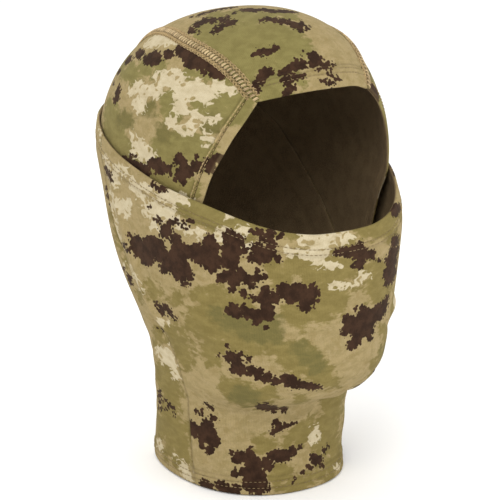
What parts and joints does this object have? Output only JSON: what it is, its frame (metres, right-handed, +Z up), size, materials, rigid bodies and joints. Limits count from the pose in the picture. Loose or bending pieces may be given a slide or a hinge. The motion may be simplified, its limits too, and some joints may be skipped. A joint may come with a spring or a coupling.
{
  "type": "camouflage balaclava face mask",
  "caption": "Stretch-knit balaclava: a hemmed hood with flatlock crown seams inside a neck and face tube that pulls down off the face.",
  "frame": {"origin": "middle of the bounding box in X and Y, on the plane the bottom hem stands on", "axes": "+Z up through the crown, the wearer faces -Y, the wearer's left is +X"},
  "size_m": [0.1584, 0.2044, 0.2744],
  "materials": {
    "camo_knit": "smooth stretch jersey printed with a ragged brown, olive, khaki and cream camouflage, dark brushed inside",
    "thread": "tan polyester sewing thread"
  },
  "bodies": {
    "root": {"neck_front_panel": "camo_knit", "neck_back_panel": "camo_knit", "neck_side_seam_left": "thread", "neck_side_seam_right": "thread", "neck_hem_stitching": "thread", "nape_panel": "camo_knit", "nape_seam": "thread"},
    "mask": {"mask_front_panel": "camo_knit", "mask_back_panel": "camo_knit", "mask_side_seam_left": "thread", "mask_side_seam_right": "thread", "mask_hem_stitching": "thread"},
    "hood": {"hood_crown_panel": "camo_knit", "hood_side_panel_left": "camo_knit", "hood_side_panel_right": "camo_knit", "crown_seam_left": "thread", "crown_seam_right": "thread", "brow_hem_stitching": "thread", "side_hem_stitching_left": "thread", "side_hem_stitching_right": "thread"}
  },
  "joints": [
    {"name": "mask_pull_down", "type": "slide", "parent": "root", "child": "mask", "axis": [0, 0, -1], "range_m": [0, 0.075]},
    {"name": "hood_push_back", "type": "hinge", "parent": "root", "child": "hood", "pos_m": [0, 0.10177, 0.207], "axis": [-1, 0, 0], "range_deg": [0, 140]}
  ]
}
